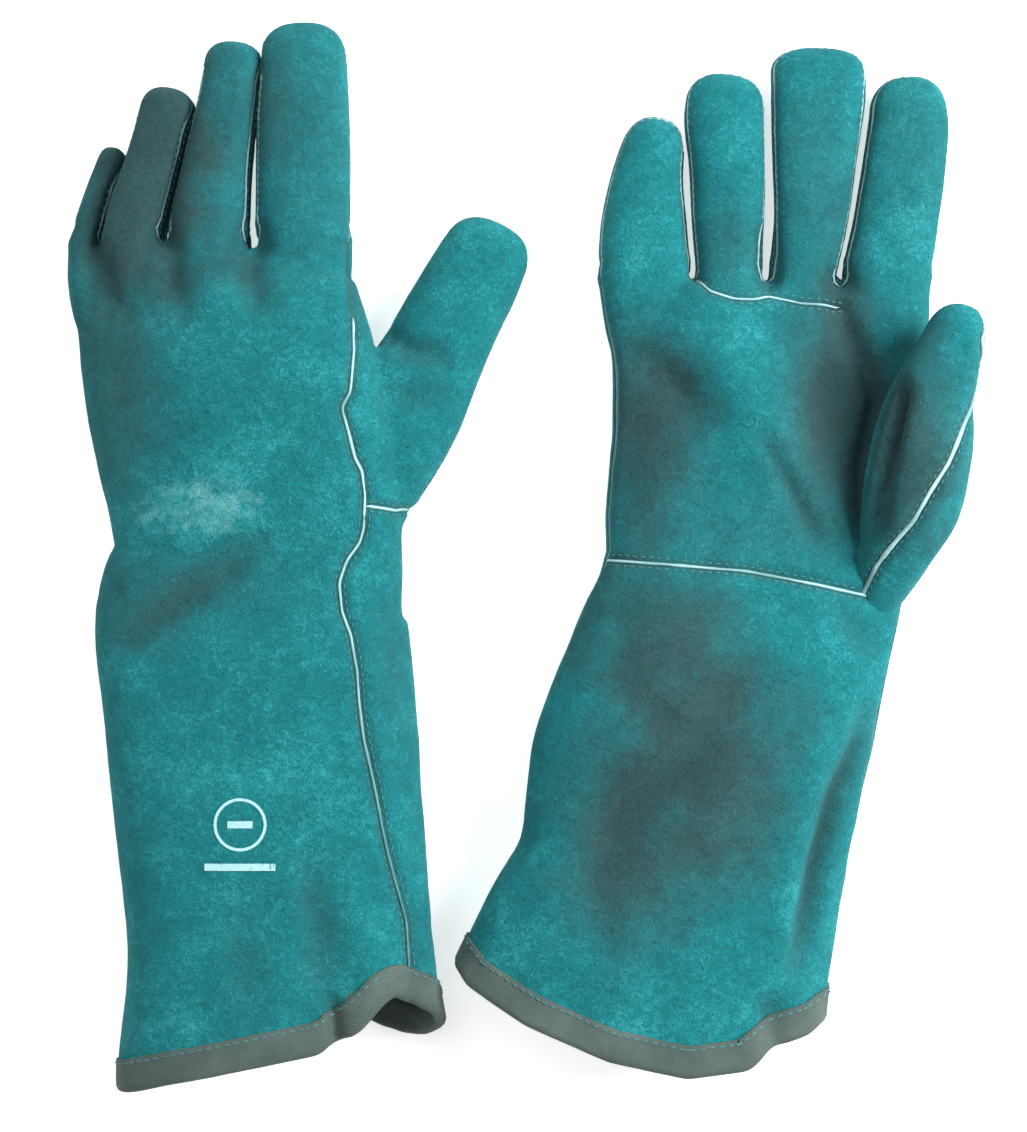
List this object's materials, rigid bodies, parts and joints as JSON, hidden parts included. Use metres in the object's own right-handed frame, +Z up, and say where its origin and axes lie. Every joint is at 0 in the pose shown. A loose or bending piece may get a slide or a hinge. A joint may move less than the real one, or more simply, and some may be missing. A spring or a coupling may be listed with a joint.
{
  "type": "welding gloves",
  "caption": "Pair of long split-leather welding gauntlets lying flat, one back up and one palm up, with open bound cuffs and jointed wrists, fingers and thumbs.",
  "frame": {"origin": "centre of the pair's outline on the surface it lies on", "axes": "+X to the right across both gloves with both thumbs on that side, +Y from the cuff openings to the fingertips, +Z up"},
  "size_m": [0.3424, 0.3999, 0.066],
  "materials": {
    "split_leather": "napped suede",
    "lining": "brushed cotton",
    "binding": "woven tape",
    "welt": "smooth strip"
  },
  "bodies": {
    "left_cuff": {"left_hem_binding": "binding", "left_cuff_back": "split_leather", "left_cuff_palm": "split_leather", "left_cuff_thumb_side_welt": "welt", "left_wrist_welt": "welt", "left_cuff_lining": "lining"},
    "left_hand": {"left_hand_back": "split_leather", "left_palm": "split_leather", "left_thumb_side_welt": "welt", "left_little_side_welt": "welt", "left_hand_lining": "lining"},
    "left_little": {"left_little_back": "split_leather", "left_little_front": "split_leather", "left_little_fourchette": "split_leather", "left_little_lining": "lining"},
    "left_ring": {"left_ring_back": "split_leather", "left_ring_front": "split_leather", "left_ring_fourchette": "split_leather", "left_ring_lining": "lining"},
    "left_middle": {"left_middle_back": "split_leather", "left_middle_front": "split_leather", "left_middle_fourchette": "split_leather", "left_middle_lining": "lining"},
    "left_index": {"left_index_back": "split_leather", "left_index_front": "split_leather", "left_index_fourchette": "split_leather", "left_index_lining": "lining"},
    "left_thumb": {"left_thumb_back": "split_leather", "left_thumb_front": "split_leather", "left_thumb_lining": "lining"},
    "right_cuff": {"right_hem_binding": "binding", "right_cuff_back": "split_leather", "right_cuff_palm": "split_leather", "right_cuff_thumb_side_welt": "welt", "right_wrist_welt": "welt", "right_cuff_lining": "lining"},
    "right_hand": {"right_hand_back": "split_leather", "right_palm": "split_leather", "right_thumb_side_welt": "welt", "right_little_side_welt": "welt", "right_hand_lining": "lining"},
    "right_little": {"right_little_back": "split_leather", "right_little_front": "split_leather", "right_little_fourchette": "split_leather", "right_little_lining": "lining"},
    "right_ring": {"right_ring_back": "split_leather", "right_ring_front": "split_leather", "right_ring_fourchette": "split_leather", "right_ring_lining": "lining"},
    "right_middle": {"right_middle_back": "split_leather", "right_middle_front": "split_leather", "right_middle_fourchette": "split_leather", "right_middle_lining": "lining"},
    "right_index": {"right_index_back": "split_leather", "right_index_front": "split_leather", "right_index_fourchette": "split_leather", "right_index_lining": "lining"},
    "right_thumb": {"right_thumb_back": "split_leather", "right_thumb_front": "split_leather", "right_thumb_lining": "lining"}
  },
  "joints": [
    {"name": "left_wrist", "type": "hinge", "parent": "left_cuff", "child": "left_hand", "pos_m": [-0.1, 0.008, 0.008], "axis": [-1, 0, 0], "range_deg": [-15, 35]},
    {"name": "left_little_knuckle", "type": "hinge", "parent": "left_hand", "child": "left_little", "pos_m": [-0.162, 0.108, 0.005], "axis": [-0.9948, 0.102, 0], "range_deg": [-10, 60]},
    {"name": "left_ring_knuckle", "type": "hinge", "parent": "left_hand", "child": "left_ring", "pos_m": [-0.1411, 0.108, 0.005], "axis": [-0.9979, 0.0644, 0], "range_deg": [-10, 60]},
    {"name": "left_middle_knuckle", "type": "hinge", "parent": "left_hand", "child": "left_middle", "pos_m": [-0.1142, 0.108, 0.005], "axis": [-0.9997, 0.0247, 0], "range_deg": [-10, 60]},
    {"name": "left_index_knuckle", "type": "hinge", "parent": "left_hand", "child": "left_index", "pos_m": [-0.08105, 0.108, 0.005], "axis": [-0.9999, -0.0159, 0], "range_deg": [-10, 60]},
    {"name": "left_thumb_root", "type": "hinge", "parent": "left_hand", "child": "left_thumb", "pos_m": [-0.0485, 0.044, 0.005], "axis": [-0.1685, 0.9857, 0], "range_deg": [-8, 45]},
    {"name": "right_wrist", "type": "hinge", "parent": "right_cuff", "child": "right_hand", "pos_m": [0.085, -0.008, 0.03], "axis": [1, 0, 0], "range_deg": [-15, 35]},
    {"name": "right_little_knuckle", "type": "hinge", "parent": "right_hand", "child": "right_little", "pos_m": [0.0445, 0.09, 0.024], "axis": [1, 0, 0], "range_deg": [-10, 60]},
    {"name": "right_ring_knuckle", "type": "hinge", "parent": "right_hand", "child": "right_ring", "pos_m": [0.0759, 0.09, 0.024], "axis": [0.9999, 0.0118, 0], "range_deg": [-10, 60]},
    {"name": "right_middle_knuckle", "type": "hinge", "parent": "right_hand", "child": "right_middle", "pos_m": [0.1033, 0.09, 0.024], "axis": [0.997, -0.0774, 0], "range_deg": [-10, 60]},
    {"name": "right_index_knuckle", "type": "hinge", "parent": "right_hand", "child": "right_index", "pos_m": [0.1337, 0.09, 0.024], "axis": [0.9927, -0.1205, 0], "range_deg": [-10, 60]},
    {"name": "right_thumb_root", "type": "hinge", "parent": "right_hand", "child": "right_thumb", "pos_m": [0.1364, 0.006, 0.063], "axis": [0.9563, -0.2924, 0], "range_deg": [0, 45]},
    {"name": "right_glove_lift", "type": "slide", "parent": "left_cuff", "child": "right_cuff", "axis": [0, 0, 1], "range_m": [0, 0.15]}
  ]
}
